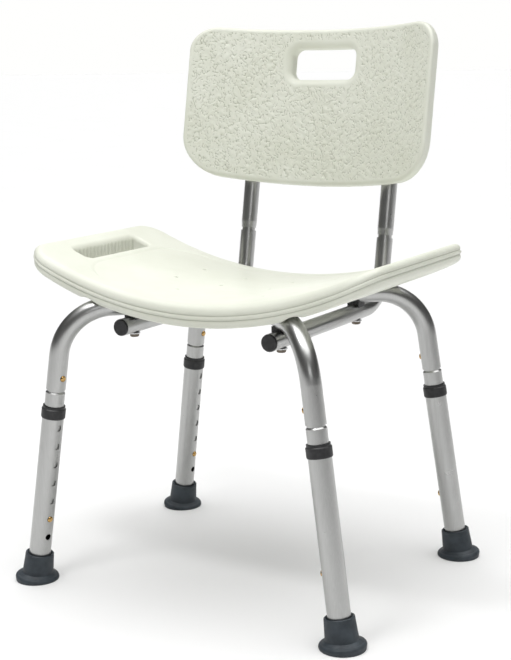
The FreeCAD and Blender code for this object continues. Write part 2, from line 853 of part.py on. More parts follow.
def crossings():
    """Placements on the vertical axes of the four crossings, at floor level."""
    spots = [bolt_point(side, end) for side in (-1, 1) for end in (-1, 1)]
    return [at(spot.x, spot.y, 0) for spot in spots]


def seat_fasteners():
    """Bolts from below, washers, and the threaded inserts moulded into the seat."""
    under = "support_height - support_od / 2 - washer_thickness"
    roof = "bow_height + inner_tube_od / 2 + channel_clearance"
    stacked("FrameBolt", "frame_bolts", [
        ("0", under + " - bolt_head"),
        ("bolt_head_dia / 2 - edge_bevel", under + " - bolt_head"),
        ("bolt_head_dia / 2", under + " - bolt_head + edge_bevel"),
        ("bolt_head_dia / 2", under),
        ("bolt_dia / 2", under),
        ("bolt_dia / 2", under + " + bolt_length"),
        ("0", under + " + bolt_length"),
    ], crossings())
    stacked("FrameWasher", "frame_washers", [
        ("bolt_hole_dia / 2", under),
        ("washer_dia / 2", under),
        ("washer_dia / 2", under + " + washer_thickness"),
        ("bolt_hole_dia / 2", under + " + washer_thickness"),
    ], crossings())
    stacked("SeatInsert", "seat_insert_nuts", [
        ("bolt_dia / 2", roof),
        ("insert_dia / 2", roof),
        ("insert_dia / 2", roof + " + insert_length"),
        ("bolt_dia / 2", roof + " + insert_length"),
    ], crossings())


def bow_line(leg):
    """Placement at the middle of a bow's level run, X towards one of its legs."""
    corner = leg_corner(leg)
    turn = Rotation(Vector(0, 0, 1), math.degrees(math.atan2(corner.y, corner.x)))
    return at(0, 0, size("bow_height"), turn)


def tube_saddles():
    """Moulded spacers, hollowed above for the bow and below for the back support."""
    middle = (size("support_height") + size("support_od") / 2
              + size("bow_height") - size("inner_tube_od") / 2) / 2
    pieces = []
    for side in (-1, 1):
        for end in (-1, 1):
            name = "Saddle_%d_%d" % (side + 1, end + 1)
            spot = bolt_point(side, end)
            leg = "rear_right" if side == end else "front_right"
            body = block(name + "_block", "saddle_width", "saddle_length", "saddle_height",
                         at(spot.x, spot.y, middle))
            lie = bow_line(leg).multiply(Placement(Vector(-size("seat_width") / 2, 0, 0), AIM_X))
            bow_tool = rod(name + "_bow", "inner_tube_od", "seat_width", lie)
            start = at(spot.x, -size("seat_width") / 2, size("support_height"), AIM_REAR)
            tube_tool = rod(name + "_tube", "support_od", "seat_width", start)
            bolt_tool = rod(name + "_bolt", "bolt_hole_dia", "bow_height", at(spot.x, spot.y, 0))
            tools = joined(name + "_tools", [bow_tool, tube_tool, bolt_tool])
            pieces.append(carved(name, body, tools))
    return keep(grouped("Saddles", pieces), "tube_saddles")


def back_screw_spots():
    """Placements on the back faces of the uprights, pointing forwards into the backrest."""
    spots = []
    for side in SIDES.values():
        for which in ("low", "high"):
            spot = back_frame(side, size("back_screw_" + which))
            rear = Placement(Vector(0, size("support_od") / 2, 0), AIM_FRONT)
            spots.append(spot.multiply(rear))
    return spots


def backrest_fasteners():
    """Screws from behind through the uprights, and their inserts inside the backrest."""
    stacked("BackScrew", "backrest_screws", [
        ("0", "0 - back_screw_head"),
        ("back_screw_head_dia / 2 - edge_bevel", "0 - back_screw_head"),
        ("back_screw_head_dia / 2", "edge_bevel - back_screw_head"),
        ("back_screw_head_dia / 2", "0"),
        ("back_screw_dia / 2", "0"),
        ("back_screw_dia / 2", "back_screw_length"),
        ("0", "back_screw_length"),
    ], back_screw_spots())
    start = "support_od + back_wall"
    stacked("BackInsert", "backrest_insert_nuts", [
        ("back_screw_dia / 2", start),
        ("back_insert_dia / 2", start),
        ("back_insert_dia / 2", start + " + back_insert_length"),
        ("back_screw_dia / 2", start + " + back_insert_length"),
    ], back_screw_spots())


# ---------------------------------------------------------------- seat

def seat_form(name, walls):
    """The seat's outer form, or the form that lies this many walls inside it."""
    wall = walls * size("seat_wall")
    half = size("seat_width") / 2 - wall
    body = new_body(name)
    sketch = new_sketch(body, "XZ_Plane", name + "_outline")
    seat_arc(sketch, 0, "under", "-", walls)
    seat_arc(sketch, 1, "top", "+", walls)
    for vertex, side in ((1, -half), (2, half)):
        ends = [Vector(side, arc.StartPoint.y, 0) for arc in sketch.Geometry[:2]]
        line = sketch.addGeometry(Part.LineSegment(*ends), False)
        sketch.addConstraint(Sketcher.Constraint("Coincident", line, 1, 0, vertex))
        sketch.addConstraint(Sketcher.Constraint("Coincident", line, 2, 1, vertex))
    pad = body.newObject("PartDesign::Pad", name + "_pad")
    pad.Profile = sketch
    pad.Midplane = True
    bind(pad, "Length", "seat_depth - %d * seat_wall" % (2 * walls))
    doc.recompute()
    upright = edges_where(body.Shape, lambda m: abs(m.x) > half - TOUCH and abs(m.y) > TOUCH)
    soften(body, name + "_corners", upright, "seat_corner - %d * seat_wall" % walls)
    round_rim(body, "top", 1, walls)
    if not walls:
        round_rim(body, "under", -1, walls)
    body.Placement = at(0, size("seat_back_shift"), 0)
    return body


def seat_arc(sketch, index, face, sign, walls):
    """Arc of the seat's top or under face; its centre lies above the middle of the seat."""
    bend = "seat_%s_bend" % face
    height = "seat_%s_height" % face
    wall = walls * size("seat_wall")
    half = size("seat_width") / 2 - wall
    radius = size(bend) + (wall if sign == "+" else -wall)
    centre = size(bend) + size(height)
    end_up = centre - math.sqrt(radius ** 2 - half ** 2)
    ends = (Vector(-half, end_up, 0), Vector(half, end_up, 0))
    sketch.addGeometry(Part.Arc(ends[0], Vector(0, centre - radius, 0), ends[1]), False)
    sketch.addConstraint(Sketcher.Constraint("PointOnObject", index, 3, -2))
    tie(sketch, "%s %s %d * seat_wall" % (bend, sign, walls), "Radius", index, radius)
    tie(sketch, bend + " + " + height, "DistanceY", -1, 1, index, 3, centre)
    left = "%d * seat_wall - seat_width / 2" % walls
    right = "seat_width / 2 - %d * seat_wall" % walls
    tie(sketch, left, "DistanceX", -1, 1, index, 1, -half)
    tie(sketch, right, "DistanceX", -1, 1, index, 2, half)


def round_rim(body, face, way, walls):
    """Soften the rim of the seat's top or under face; call before the body is placed."""
    bend = size("seat_%s_bend" % face)
    centre = bend + size("seat_%s_height" % face)
    radius = bend + way * walls * size("seat_wall")
    rim = edges_where(body.Shape, lambda m: abs(math.hypot(m.x, centre - m.z) - radius) < TOUCH)
    soften(body, "%s_%s_round" % (body.Name, face), rim,
           "seat_%s_round - %d * seat_wall" % (face, walls))


def bow_channel(name, leg, extra):
    """Room for one bow: a round-roofed channel, wider where the bow is pressed flat."""
    line = bow_line(leg)
    width = "inner_tube_od + 2 * channel_clearance" + extra
    run = Placement(Vector(-size("seat_width") / 2, 0, 0), AIM_X)
    below = Placement(Vector(0, 0, -size("inner_tube_od")), Rotation())
    roof = rod(name + "_roof", width, "seat_width", line.multiply(run))
    side = block(name + "_side", "seat_width", width, "inner_tube_od * 2", line.multiply(below))
    lift = size("inner_tube_od") / 2 + size("channel_clearance")
    middle = Placement(Vector(0, 0, lift - size("inner_tube_od")), Rotation())
    flat = block(name + "_flat", "2 * crimp_half_length + crimp_blend + crimp_width",
                 "crimp_width + 4 * channel_clearance" + extra, "inner_tube_od * 2" + extra,
                 line.multiply(middle))
    return [roof, side, flat]


def handle_slot(name, side, extra):
    """Upright slot near one end of the seat, with rounded corners."""
    slot = padded_rounded(name, "handle_slot_width" + extra, "handle_slot_length" + extra,
                          "handle_slot_corner", "seat_depth")
    x = side * size("handle_slot_middle")
    slot.Placement = at(x, size("handle_slot_back_shift"), size("seat_top_height"))
    return slot


def padded_rounded(name, across, along, corner, length):
    """A rounded rectangle on the XY plane, padded evenly up and down."""
    body = padded(name, "XY_Plane", [
        ("( %s ) / 2" % across, "( %s ) / 2" % along),
        ("0 - ( %s ) / 2" % across, "( %s ) / 2" % along),
        ("0 - ( %s ) / 2" % across, "0 - ( %s ) / 2" % along),
        ("( %s ) / 2" % across, "0 - ( %s ) / 2" % along),
    ], length)
    doc.recompute()
    upright = edges_where(body.Shape, lambda m: abs(m.z) < TOUCH)
    soften(body, name + "_corners", upright, corner)
    return body


def seat():
    """Blow-moulded seat: a thin shell round a hollow, channels for the bows and two slots."""
    outer = seat_form("SeatOuter", 0)
    cavity = seat_form("SeatCavity", 1)
    openings = []
    liners = []
    for leg in ("rear_right", "front_right"):
        openings += bow_channel("Channel_" + leg, leg, "")
        liners += bow_channel("ChannelWall_" + leg, leg, " + 2 * seat_wall")
    for name, side in SIDES.items():
        openings.append(handle_slot("Slot_" + name, side, ""))
        liners.append(handle_slot("SlotWall_" + name, side, " + 2 * seat_wall"))
    roof = size("bow_height") + size("inner_tube_od") / 2 + size("channel_clearance")
    for index, spot in enumerate(crossings(), start=1):
        up = spot.multiply(Placement(Vector(0, 0, roof), Rotation()))
        liners.append(rod("Boss_%d" % index, "boss_dia", "boss_length", up))
        low = spot.multiply(Placement(Vector(0, 0, roof - size("inner_tube_od")), Rotation()))
        openings.append(rod("InsertPocket_%d" % index, "insert_dia",
                            "insert_length + inner_tube_od", low))
    hollow = carved("SeatHollow", cavity, joined("SeatLiners", liners))
    waste = joined("SeatWaste", [hollow] + openings)
    return keep(carved("Seat", outer, waste), "seat")


# ---------------------------------------------------------------- backrest

def back_outline(name, walls):
    """Front view of the backrest: a rounded rectangle with a bulging lower edge."""
    wall = walls * size("back_wall")
    half = size("back_width") / 2 - wall
    low = size("back_low") + wall
    side_low = size("back_low_corner") + wall
    high = size("back_high") - wall
    sag = side_low - low
    corners = (
        Vector(-half, side_low, 0),
        Vector(half, side_low, 0),
        Vector(half, high, 0),
        Vector(-half, high, 0),
    )
    body = new_body(name)
    sketch = new_sketch(body, "XZ_Plane", name + "_outline")
    sketch.addGeometry(Part.Arc(corners[0], Vector(0, low, 0), corners[1]), False)
    for i in (1, 2, 3):
        sketch.addGeometry(Part.LineSegment(corners[i], corners[(i + 1) % 4]), False)
    for i in range(4):
        sketch.addConstraint(Sketcher.Constraint("Coincident", i, 2, (i + 1) % 4, 1))
    right = "back_width / 2 - %d * back_wall" % walls
    left = "%d * back_wall - back_width / 2" % walls
    bottom = "back_low_corner + %d * back_wall" % walls
    top = "back_high - %d * back_wall" % walls
    pin(sketch, 1, 1, right, bottom, corners[1])
    pin(sketch, 2, 1, right, top, corners[2])
    pin(sketch, 3, 1, left, top, corners[3])
    pin(sketch, 0, 1, left, bottom, corners[0])
    sketch.addConstraint(Sketcher.Constraint("Radius", 0, (half ** 2 + sag ** 2) / (2 * sag)))
    pad = body.newObject("PartDesign::Pad", name + "_pad")
    pad.Profile = sketch
    pad.Midplane = True
    bind(pad, "Length", "back_bend")
    doc.recompute()
    halfway = (low + high) / 2
    above = edges_where(body.Shape, lambda m: abs(m.y) < TOUCH and m.z > halfway)
    soften(body, name + "_high_corners", above, "back_high_round - %d * back_wall" % walls)
    below = edges_where(body.Shape, lambda m: abs(m.y) < TOUCH and m.z < halfway)
    soften(body, name + "_low_corners", below, "back_low_round - %d * back_wall" % walls)
    return body


def back_curve(name, walls):
    """Upright slab, curved round the sitter: the space between two concentric cylinders."""
    centre = Vector(0, -size("back_forward") - size("back_bend"), 0)
    bend = back_frame().multiply(Placement(centre, Rotation()))
    far = "2 * ( back_bend + back_thickness - %d * back_wall )" % walls
    near = "2 * ( back_bend + %d * back_wall )" % walls
    outer = rod(name + "_rear", far, "back_high * 2", bend)
    inner = rod(name + "_front", near, "back_high * 2", bend)
    return carved(name, outer, inner)


def back_form(name, walls):
    """The backrest's outer form, or the form that lies this many walls inside it."""
    plate = back_outline(name + "_plate", walls)
    plate.Placement = back_frame()
    form = doc.addObject("Part::Common", name)
    form.Base = plate
    form.Tool = back_curve(name + "_curve", walls)
    return form


def back_slot(name, extra):
    """Handle hole straight through the backrest."""
    slot = padded_rounded(name, "back_slot_width" + extra, "back_slot_height" + extra,
                          "back_slot_corner", "back_bend")
    turn = Placement(Vector(0, 0, size("back_slot_middle")), Rotation(Vector(1, 0, 0), 90))
    slot.Placement = back_frame().multiply(turn)
    return slot


def rounded_back(form, walls):
    """Soften the front and rear rims of the backrest's form, or of the form inside it."""
    doc.recompute()
    wall = walls * size("back_wall")
    local = back_frame().inverse()
    middle = size("back_forward") + size("back_bend")
    front = size("back_bend") + wall
    rear = size("back_bend") + size("back_thickness") - wall
    faces = (
        (front, size("back_front_round") - wall),
        (rear, size("back_rear_round") - wall),
    )
    rims = []
    for index, edge in enumerate(form.Shape.Edges, start=1):
        spot = local.multVec(edge.valueAt((edge.FirstParameter + edge.LastParameter) / 2))
        reach = math.hypot(spot.x, spot.y + middle)
        rims += [(index, bend, bend) for face, bend in faces if abs(reach - face) < TOUCH]
    fillet = doc.addObject("Part::Fillet", form.Name + "_rounded")
    fillet.Base = form
    fillet.Edges = rims
    return fillet


def backrest():
    """Blow-moulded backrest with a handle hole and grooves for the uprights."""
    outer = rounded_back(back_form("BackOuter", 0), 0)
    cavity = rounded_back(back_form("BackCavity", 1), 1)
    openings = [back_slot("BackSlot", "")]
    liners = [back_slot("BackSlotWall", " + 2 * back_wall")]
    for name, side in SIDES.items():
        groove = "support_od + 2 * upright_groove_clearance"
        openings.append(rod("BackGroove_" + name, groove, "back_high * 2", back_frame(side)))
        liners.append(rod("BackGrooveWall_" + name, groove + " + 2 * back_wall", "back_high * 2",
                          back_frame(side)))
    for index, spot in enumerate(back_screw_spots(), start=1):
        liners.append(rod("BackBoss_%d" % index, "boss_dia", "support_od * 2", spot))
        openings.append(rod("BackInsertPocket_%d" % index, "back_insert_dia",
                            "support_od + back_wall + back_insert_length", spot))
    hollow = carved("BackHollow", cavity, joined("BackLiners", liners))
    waste = joined("BackWaste", [hollow] + openings)
    return keep(carved("Backrest", outer, waste), "backrest")


# ---------------------------------------------------------------- build, check and write

def build():
    for leg in LEGS:
        inner_leg(leg)
        outer_leg(leg)
        collar(leg)
        rubber_foot(leg)
        foot_washer(leg)
        leg_buttons(leg)
    bow("frame_bow_lower", ("front_left", "rear_right"), -1)
    bow("frame_bow_upper", ("front_right", "rear_left"), 1)
    crossing_rivet()
    for side_name in SIDES:
        back_support(side_name)
        back_upright(side_name)
        back_buttons(side_name)
    end_plugs()
    seat_fasteners()
    tube_saddles()
    seat()
    backrest_fasteners()
    backrest()
    doc.recompute()


def check():
    """Stop if any object failed or any sub-part is empty or broken."""
    for thing in doc.Objects:
        if {"Invalid", "Error"} & set(thing.State):
            raise RuntimeError("%s: %s" % (thing.Name, thing.State))
    for node in NODES:
        if node.Shape.isNull() or not node.Shape.isValid() or not node.Shape.Solids:
            raise RuntimeError(node.Label + " has no valid shape")


def write():
    os.makedirs("parts", exist_ok=True)
    for node in NODES:
        node.Shape.exportStep(os.path.join("parts", node.Label + ".step"))


build()
check()
write()
print("%d sub-parts written" % len(NODES))
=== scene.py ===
import json
import math

import bpy
import numpy as np
from mathutils import Matrix, Vector


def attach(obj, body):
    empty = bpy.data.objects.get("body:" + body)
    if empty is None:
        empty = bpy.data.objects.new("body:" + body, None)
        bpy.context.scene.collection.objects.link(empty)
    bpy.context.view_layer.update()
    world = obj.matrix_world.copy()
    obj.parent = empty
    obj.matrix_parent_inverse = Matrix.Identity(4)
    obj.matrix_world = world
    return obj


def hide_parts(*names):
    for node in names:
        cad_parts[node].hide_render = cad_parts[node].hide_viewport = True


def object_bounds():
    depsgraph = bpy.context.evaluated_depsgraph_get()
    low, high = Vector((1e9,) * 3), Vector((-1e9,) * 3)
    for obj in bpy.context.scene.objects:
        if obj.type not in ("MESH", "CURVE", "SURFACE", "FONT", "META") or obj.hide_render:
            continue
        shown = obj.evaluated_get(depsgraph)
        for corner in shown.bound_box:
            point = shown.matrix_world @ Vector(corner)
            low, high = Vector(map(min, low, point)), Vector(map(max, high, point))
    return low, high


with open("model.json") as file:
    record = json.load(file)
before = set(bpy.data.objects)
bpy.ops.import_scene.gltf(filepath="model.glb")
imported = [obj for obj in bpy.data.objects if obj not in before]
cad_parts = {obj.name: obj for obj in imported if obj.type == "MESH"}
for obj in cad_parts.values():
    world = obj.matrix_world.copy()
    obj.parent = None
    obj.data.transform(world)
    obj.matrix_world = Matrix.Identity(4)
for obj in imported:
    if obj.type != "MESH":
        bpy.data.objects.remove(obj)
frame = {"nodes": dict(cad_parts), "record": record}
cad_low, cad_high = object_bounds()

MM = 0.001
FORWARD = 21 * MM              # the legs stand this far in front of the frame's own middle
SCENE = bpy.context.scene


# ---------------------------------------------------------------- distance fields
# A moulded part is a signed distance field, negative inside, turned into one closed mesh.

def round_and(a, b, radius):
    """Inside both shapes, with the edge between them rounded."""
    corner = np.hypot(np.maximum(radius + a, 0), np.maximum(radius + b, 0))
    return np.minimum(-radius, np.maximum(a, b)) + corner


def round_cut(a, b, radius):
    """Inside a but not b, with the rim of the cut rounded."""
    return round_and(a, -b, radius)


def round_box(x, y, half_x, half_y, corner):
    """Plan distance to a rectangle with rounded corners."""
    dx = np.abs(x) - half_x + corner
    dy = np.abs(y) - half_y + corner
    outside = np.hypot(np.maximum(dx, 0), np.maximum(dy, 0))
    return outside + np.minimum(np.maximum(dx, dy), 0) - corner


def smooth_step(value, low, high):
    """Smooth rise from 0 at low to 1 at high."""
    t = np.clip((value - low) / (high - low), 0, 1)
    return t * t * (3 - 2 * t)


def surface_nets(field, low, cell):
    """Closed quad mesh of the zero surface of a field sampled on a grid."""
    inside = field < 0
    offsets = [(i, j, k) for i in (0, 1) for j in (0, 1) for k in (0, 1)]
    nx, ny, nz = (n - 1 for n in field.shape)
    count = sum(inside[i:i + nx, j:j + ny, k:k + nz].astype(np.int8) for i, j, k in offsets)
    mixed = (count > 0) & (count < 8)
    cells = np.argwhere(mixed)
    total = np.zeros((len(cells), 3))
    hits = np.zeros(len(cells))
    for a in offsets:
        for axis in range(3):
            if a[axis]:
                continue
            b = tuple(v + (n == axis) for n, v in enumerate(a))
            at_a = field[tuple((cells + a).T)]
            at_b = field[tuple((cells + b).T)]
            crossing = (at_a < 0) != (at_b < 0)
            share = np.where(crossing, at_a / np.where(crossing, at_a - at_b, 1), 0)
            point = np.array(a) + share[:, None] * (np.array(b) - np.array(a))
            total += point * crossing[:, None]
            hits += crossing
    points = (cells + total / hits[:, None]) * np.array(cell) + np.array(low)
    index = -np.ones(mixed.shape, int)
    index[mixed] = np.arange(len(cells))
    quads = []
    for axis in range(3):
        u, v = (axis + 1) % 3, (axis + 2) % 3
        first = np.take(inside, range(field.shape[axis] - 1), axis)
        second = np.take(inside, range(1, field.shape[axis]), axis)
        spots = np.argwhere(first != second)
        spots = spots[(spots[:, u] > 0) & (spots[:, v] > 0)]
        ring = []
        for step_u, step_v in ((0, 0), (1, 0), (1, 1), (0, 1)):
            spot = spots.copy()
            spot[:, u] -= step_u
            spot[:, v] -= step_v
            ring.append(index[tuple(spot.T)])
        quad = np.array(ring).T
        leaving = first[tuple(spots.T)]
        quads.append(np.where(leaving[:, None], quad, quad[:, ::-1]))
    return points, np.concatenate(quads)


def grid(low, high, cell):
    """Open coordinate arrays of a box of samples."""
    axes = [np.arange(l, h + c, c) for l, h, c in zip(low, high, cell)]
    return np.meshgrid(*axes, indexing="ij", sparse=True)


def mesh_object(name, points, faces, material):
    """Smooth-shaded mesh piece, linked into the scene."""
    mesh = bpy.data.meshes.new(name)
    mesh.from_pydata([tuple(p) for p in points], [], [tuple(f) for f in faces])
    mesh.polygons.foreach_set("use_smooth", [True] * len(mesh.polygons))
    mesh.materials.append(material)
    piece = bpy.data.objects.new(name, mesh)
    SCENE.collection.objects.link(piece)
    return piece


# ---------------------------------------------------------------- materials

IVORY_DIM, IVORY_LIGHT = (0.68, 0.695, 0.60), (0.73, 0.745, 0.66)
# Painted shade colour, multiplied into the ivory down in creases and grooves where shade falls.
IVORY_CREASE_SHADE = (0.22, 0.23, 0.16)
TUBE_DIM, TUBE_LIGHT = (0.41, 0.412, 0.405), (0.47, 0.472, 0.465)
SLATE_DIM, SLATE_LIGHT = (0.018, 0.026, 0.034), (0.045, 0.058, 0.070)

def new_material(name):
    """Empty node material, with the parts of it that its maker needs."""
    material = bpy.data.materials.new(name)
    material.use_nodes = True
    nodes = material.node_tree.nodes
    return material, nodes, material.node_tree.links, nodes["Principled BSDF"]


def noise(nodes, links, scale, detail=3.0, stretch=(1, 1, 1), kind="ShaderNodeTexNoise"):
    """Noise in object space, in cycles per metre."""
    place = nodes.new("ShaderNodeTexCoord")
    mapping = nodes.new("ShaderNodeMapping")
    mapping.inputs["Scale"].default_value = stretch
    texture = nodes.new(kind)
    texture.inputs["Scale"].default_value = scale
    if "Detail" in texture.inputs:
        texture.inputs["Detail"].default_value = detail
    links.new(place.outputs["Object"], mapping.inputs["Vector"])
    links.new(mapping.outputs["Vector"], texture.inputs["Vector"])
    return texture.outputs[0]


def ramp(nodes, links, value, stops):
    """Colour ramp over a value; each stop is a position and a colour."""
    node = nodes.new("ShaderNodeValToRGB")
    elements = node.color_ramp.elements
    while len(elements) < len(stops):
        elements.new(0.5)
    for element, (position, colour) in zip(elements, stops):
        element.position = position
        element.color = (*colour, 1) if len(colour) == 3 else (colour[0],) * 3 + (1,)
    links.new(value, node.inputs["Fac"])
    return node.outputs["Color"]


def spread(nodes, links, value, low, high):
    """Map a 0 to 1 value on to a range."""
    node = nodes.new("ShaderNodeMapRange")
    node.inputs["To Min"].default_value = low
    node.inputs["To Max"].default_value = high
    links.new(value, node.inputs["Value"])
    return node.outputs["Result"]


def bumps(nodes, links, shader, layers):
    """Chain of bump nodes; each layer is a height and its depth in metres."""
    normal = None
    for height, depth in layers:
        node = nodes.new("ShaderNodeBump")
        node.inputs["Strength"].default_value = 1.0
        node.inputs["Distance"].default_value = depth
        links.new(height, node.inputs["Height"])
        if normal:
            links.new(normal, node.inputs["Normal"])
        normal = node.outputs["Normal"]
    links.new(normal, shader.inputs["Normal"])


def ivory_plastic(name, grain):
    """Blow-moulded polyethylene: ivory, satin, clouded, with painted shade darkening its creases,
    grooves and parting line.
    """
    material, nodes, links, shader = new_material(name)
    clouds = noise(nodes, links, 14, 4)
    tone = ramp(nodes, links, clouds, ((0.3, IVORY_DIM), (0.7, IVORY_LIGHT)))
    # Painted shade: where the surface is concave (creases, grooves, the parting line), the base colour
    # is multiplied towards a dark ivory, standing in for the shade that falls there.
    hollows = nodes.new("ShaderNodeNewGeometry").outputs["Pointiness"]
    painted_crease_shade = ramp(nodes, links, hollows, ((0.41, IVORY_CREASE_SHADE), (0.485, (1, 1, 1))))
    mix = nodes.new("ShaderNodeMixRGB")
    mix.blend_type = "MULTIPLY"
    mix.inputs["Fac"].default_value = 1.0
    links.new(tone, mix.inputs["Color1"])
    links.new(painted_crease_shade, mix.inputs["Color2"])
    links.new(mix.outputs["Color"], shader.inputs["Base Color"])
    links.new(spread(nodes, links, noise(nodes, links, 90, 5), 0.36, 0.54), shader.inputs["Roughness"])
    fine = noise(nodes, links, 1400, 2)
    waves = noise(nodes, links, 26, 2)
    bumps(nodes, links, shader, ((fine, grain), (waves, 0.0003)))
    return material


def anodised_tube():
    """Drawn aluminium, satin anodised: streaks along the tube and a fine satin grain."""
    material, nodes, links, shader = new_material("anodised_tube")
    shader.inputs["Metallic"].default_value = 1.0
    streaks = noise(nodes, links, 1500, 2, (1, 1, 0.01))
    links.new(ramp(nodes, links, streaks, ((0.25, TUBE_DIM), (0.75, TUBE_LIGHT))),
              shader.inputs["Base Color"])
    haze = noise(nodes, links, 45, 5)
    links.new(spread(nodes, links, haze, 0.24, 0.36), shader.inputs["Roughness"])
    bumps(nodes, links, shader, ((streaks, 0.00001), (noise(nodes, links, 2500, 2), 0.00001)))
    return material


def moulded_black(name, colour):
    """Black moulded plastic with a matte grain and lighter scuffs."""
    material, nodes, links, shader = new_material(name)
    scuffs = noise(nodes, links, 160, 6)
    lighter = tuple(2.0 * c + 0.01 for c in colour)
    links.new(ramp(nodes, links, scuffs, ((0.45, colour), (0.8, lighter))), shader.inputs["Base Color"])
    links.new(spread(nodes, links, noise(nodes, links, 500, 3), 0.35, 0.6), shader.inputs["Roughness"])
    bumps(nodes, links, shader, ((noise(nodes, links, 1800, 2), 0.00008),))
    return material


def slate_rubber():
    """Blue-grey rubber, dusty in places, with a soft moulded skin."""
    material, nodes, links, shader = new_material("slate_rubber")
    dust = noise(nodes, links, 55, 6)
    links.new(ramp(nodes, links, dust, ((0.35, SLATE_DIM), (0.75, SLATE_LIGHT))),
              shader.inputs["Base Color"])
    links.new(spread(nodes, links, noise(nodes, links, 240, 4), 0.42, 0.7), shader.inputs["Roughness"])
    bumps(nodes, links, shader, ((noise(nodes, links, 900, 3), 0.00012),))
    return material


def plated(name, low, high, roughness):
    """Plated or bare metal with a fine mottled tone."""
    material, nodes, links, shader = new_material(name)
    shader.inputs["Metallic"].default_value = 1.0
    links.new(ramp(nodes, links, noise(nodes, links, 380, 4), ((0.3, low), (0.7, high))),
              shader.inputs["Base Color"])
    links.new(spread(nodes, links, noise(nodes, links, 700, 3), roughness - 0.07, roughness + 0.1),
              shader.inputs["Roughness"])
    bumps(nodes, links, shader, ((noise(nodes, links, 2200, 2), 0.00003),))
    return material


MATERIALS = {
    "seat_plastic": ivory_plastic("seat_ivory", 0.00012),
    "backrest_plastic": ivory_plastic("back_ivory", 0.00010),
    "aluminium_tube": anodised_tube(),
    "collar_plastic": moulded_black("collar_black", (0.010, 0.010, 0.011)),
    "plug_plastic": moulded_black("plug_black", (0.010, 0.010, 0.011)),
    "saddle_plastic": moulded_black("saddle_black", (0.012, 0.012, 0.013)),
    "foot_rubber": slate_rubber(),
    "button_brass": plated("button_brass", (0.42, 0.25, 0.08), (0.62, 0.41, 0.17), 0.20),
    "insert_brass": plated("insert_brass", (0.60, 0.42, 0.16), (0.75, 0.55, 0.25), 0.35),
    "spring_steel": plated("spring_steel", (0.35, 0.35, 0.36), (0.5, 0.5, 0.51), 0.35),
    "washer_steel": plated("washer_steel", (0.50, 0.50, 0.50), (0.65, 0.65, 0.66), 0.32),
    "fastener_steel": plated("fastener_steel", (0.10, 0.085, 0.07), (0.20, 0.17, 0.14), 0.30),
}


def dress_frame():
    """Give every CAD node the material of its slot."""
    slots = {part["node"]: part["material_slot"] for part in frame["record"]["subparts"]}
    for node, piece in frame["nodes"].items():
        for place in piece.material_slots:
            place.material = MATERIALS[slots[node]]


# ---------------------------------------------------------------- seat

SEAT_HALF_WIDTH = 255 * MM
SEAT_HALF_DEPTH = 144 * MM
SEAT_CORNER = 36 * MM
SEAT_MIDDLE = -2 * MM - FORWARD
UNDER_HEIGHT, UNDER_BEND = 358 * MM, 530 * MM
TOP_HEIGHT, TOP_BEND = 387 * MM, 555 * MM
SLOT_MIDDLE = (214 * MM, -2.5 * MM)
SLOT_HALF = (13.5 * MM, 70 * MM)
RIB_PITCH = 8 * MM
FIELD_HALF = (188 * MM, 118 * MM)
FIELD_CORNER = 60 * MM
PARTING = 0.44                              # height of the parting ridge in the thickness
DRAINS = ((102, -10), (102, 60), (64, -64), (37, -2), (37, 60))      # millimetres, one side
DRAIN_RADIUS = 2.4 * MM
BOW_AIM = math.atan2(161.6, 176.5)
BOW_HEIGHT = 371 * MM
CHANNEL_RADIUS = 13.3 * MM                  # round the bow's tube
CHANNEL_FLAT_HALF = (55 * MM, 17.7 * MM)    # round the pressed middle of a bow
CHANNEL_FLAT_ROOF = 13.2 * MM


def arch(x, height, bend):
    """Height of a face that curves up towards both ends."""
    return height + bend - np.sqrt(bend ** 2 - x ** 2)


def seat_field(x, y, lift):
    """Distance field of the seat; lift is the height above the seat's underside."""
    under = arch(x, UNDER_HEIGHT, UNDER_BEND)
    thick = arch(x, TOP_HEIGHT, TOP_BEND) - under
    square = np.sqrt(UNDER_BEND ** 2 - x ** 2) / UNDER_BEND
    plan = round_box(x, y, SEAT_HALF_WIDTH, SEAT_HALF_DEPTH, SEAT_CORNER)

    # A parting ridge between two grooves runs round the skirt, with a little draft.
    off_ridge = np.abs(lift - PARTING * thick)
    ridge = 0.4 * MM * np.exp(-(off_ridge / (1.0 * MM)) ** 2)
    groove = 1.5 * MM * np.exp(-((off_ridge - 3.0 * MM) / (1.3 * MM)) ** 2)
    side = plan + 0.05 * off_ridge + 0.4 * MM - ridge + groove

    # The sitting area is a shallow step below the rim, with a fine line round it.
    field_edge = round_box(x, y, *FIELD_HALF, FIELD_CORNER)
    step = 0.8 * MM * smooth_step(-field_edge, -1.3 * MM, 1.3 * MM)
    step = step + 0.7 * MM * np.exp(-(field_edge / (1.3 * MM)) ** 2)
    top = (lift - thick + step) * square
    bottom = -lift * square
    solid = round_and(side, top, 11.5 * MM)
    solid = round_and(solid, bottom, 4 * MM)

    # Handle slots with ribbed walls.
    ribs = 0.8 * MM * np.cos(y * (2 * math.pi / RIB_PITCH))
    ribs = ribs * smooth_step(thick - lift, 3 * MM, 7 * MM)
    slot = round_box(np.abs(x) - SLOT_MIDDLE[0], y - SLOT_MIDDLE[1], *SLOT_HALF, 8 * MM)
    return round_cut(solid, slot - ribs, 6 * MM)


def drain_holes(x, y, solid):
    """Small round drain holes through the sitting area, the same on both sides."""
    for across, back in DRAINS:
        hole = np.hypot(np.abs(x) - across * MM, y - back * MM) - DRAIN_RADIUS
        solid = round_cut(solid, hole, 1.0 * MM)
    return solid


